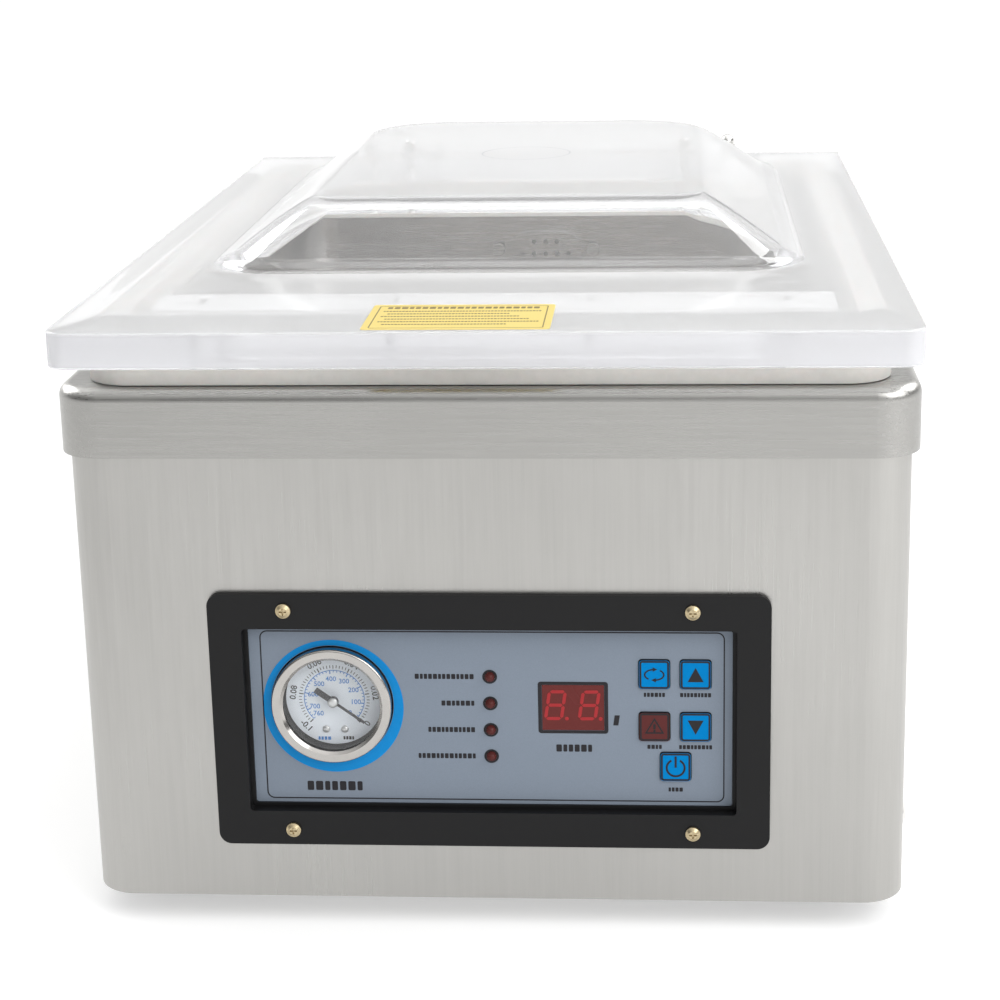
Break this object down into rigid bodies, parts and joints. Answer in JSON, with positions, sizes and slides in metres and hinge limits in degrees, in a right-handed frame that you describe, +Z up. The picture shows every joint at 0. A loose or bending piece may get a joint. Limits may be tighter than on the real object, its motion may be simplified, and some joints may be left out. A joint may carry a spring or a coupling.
{
  "type": "vacuum chamber sealer",
  "caption": "Table-top vacuum chamber sealer: brushed steel body with a gauge and key panel, sunken chamber with a rising seal bar, and a hinged clear domed lid.",
  "frame": {"origin": "middle of the overall box, on the surface that the rubber feet stand on", "axes": "+X to the right seen from the front, +Y from the control panel to the hinges, +Z up"},
  "size_m": [0.332, 0.48, 0.2725],
  "materials": {
    "brushed_stainless": "vertical brushed grain, satin",
    "band_stainless": "fine horizontal brushed grain, satin",
    "zinc_steel": "bright zinc plating",
    "chrome_steel": "polished nickel plating",
    "spring_steel": "dark spring wire",
    "aluminium": "drawn, lightly scratched",
    "brass": "yellow passivated",
    "clear_acrylic": "clear, polished, slightly wavy from forming",
    "gauge_glass": "clear flat glass",
    "white_silicone": "matte, slightly dusty",
    "black_rubber": "matte moulded",
    "black_plastic": "satin with fine texture",
    "white_plastic": "extruded, satin",
    "panel_film": "printed polyester film, satin",
    "key_blue": "printed film, satin",
    "key_red": "printed film, satin",
    "red_window": "translucent red filter",
    "led_red": "diffused red epoxy",
    "circuit_board": "green solder mask",
    "dial_white": "matte white print",
    "pointer_black": "matte black",
    "ptfe_tan": "woven glass cloth, PTFE coated",
    "pump_paint": "cast aluminium, dark grey paint",
    "motor_paint": "blue-grey enamel",
    "fan_plastic": "moulded nylon",
    "oil_glass": "oil behind clear plastic",
    "hose_white": "reinforced silicone hose",
    "valve_mix": "brass body with a moulded coil",
    "transformer_core": "varnished laminations and copper coil"
  },
  "bodies": {
    "chassis": {"body_shell": "brushed_stainless", "base_plate": "zinc_steel", "rear_panel": "brushed_stainless", "rear_panel_screws": "zinc_steel", "side_screws": "chrome_steel", "rubber_feet": "black_rubber", "foot_screws": "zinc_steel", "chamber_pan": "band_stainless", "hinge_brackets": "zinc_steel", "hinge_pins": "chrome_steel", "torsion_springs": "spring_steel", "bracket_screws": "zinc_steel", "lift_cylinders": "aluminium", "suction_cover": "band_stainless", "suction_screws": "zinc_steel", "panel_bezel": "black_plastic", "bezel_screws": "brass", "membrane_panel": "panel_film", "panel_bracket": "zinc_steel", "display_window": "red_window", "display_module": "black_plastic", "indicator_leds": "led_red", "control_board": "circuit_board", "board_standoffs": "brass", "gauge_case": "black_plastic", "gauge_bezel": "chrome_steel", "gauge_dial": "dial_white", "gauge_glass": "gauge_glass", "pump_housing": "pump_paint", "pump_motor": "motor_paint", "fan_cowl": "pump_paint", "pump_mounts": "black_rubber", "oil_sight_glass": "oil_glass", "vacuum_hose": "hose_white", "solenoid_valves": "valve_mix", "seal_transformer": "transformer_core", "motor_capacitor": "aluminium", "power_inlet": "black_plastic", "fuse_holder": "black_plastic", "exhaust_port": "zinc_steel"},
    "lid_assembly": {"lid": "clear_acrylic", "lid_gasket": "white_silicone", "pressure_bar_holder": "white_plastic", "silicone_strip": "white_silicone", "pressure_bar_screws": "zinc_steel", "lid_hinge_leaves": "zinc_steel", "hinge_bolts": "zinc_steel", "cap_nuts": "chrome_steel"},
    "seal_lift": {"seal_bar": "aluminium", "heating_wires": "zinc_steel", "ptfe_tape": "ptfe_tan", "contact_blocks": "brass", "lift_rods": "chrome_steel"},
    "pointer": {"gauge_pointer": "pointer_black"},
    "fan": {"cooling_fan": "fan_plastic"},
    "mode_button": {"key_mode": "key_blue"},
    "up_button": {"key_up": "key_blue"},
    "stop_button": {"key_stop": "key_red"},
    "down_button": {"key_down": "key_blue"},
    "start_button": {"key_start": "key_blue"}
  },
  "joints": [
    {"name": "lid_hinge", "type": "hinge", "parent": "chassis", "child": "lid_assembly", "pos_m": [0, 0.229, 0.226], "axis": [-1, 0, 0], "range_deg": [0, 55], "deforming": ["torsion_springs"]},
    {"name": "seal_lift_slide", "type": "slide", "parent": "chassis", "child": "seal_lift", "axis": [0, 0, 1], "range_m": [0, 0.0097]},
    {"name": "pointer_turn", "type": "hinge", "parent": "chassis", "child": "pointer", "pos_m": [-0.0623, -0.226, 0.0936], "axis": [0, -1, 0], "range_deg": [0, 261], "stiffness_Nm_per_rad": 0.0002, "springref_deg": -11.46},
    {"name": "fan_spin", "type": "hinge", "parent": "chassis", "child": "fan", "pos_m": [0.119, 0.095, 0.092], "axis": [1, 0, 0], "continuous": true},
    {"name": "mode_press", "type": "slide", "parent": "chassis", "child": "mode_button", "axis": [0, 1, 0], "range_m": [0, 0.0005], "stiffness_N_per_m": 600, "springref_m": -0.0008},
    {"name": "up_press", "type": "slide", "parent": "chassis", "child": "up_button", "axis": [0, 1, 0], "range_m": [0, 0.0005], "stiffness_N_per_m": 600, "springref_m": -0.0008},
    {"name": "stop_press", "type": "slide", "parent": "chassis", "child": "stop_button", "axis": [0, 1, 0], "range_m": [0, 0.0005], "stiffness_N_per_m": 600, "springref_m": -0.0008},
    {"name": "down_press", "type": "slide", "parent": "chassis", "child": "down_button", "axis": [0, 1, 0], "range_m": [0, 0.0005], "stiffness_N_per_m": 600, "springref_m": -0.0008},
    {"name": "start_press", "type": "slide", "parent": "chassis", "child": "start_button", "axis": [0, 1, 0], "range_m": [0, 0.0005], "stiffness_N_per_m": 600, "springref_m": -0.0008}
  ]
}
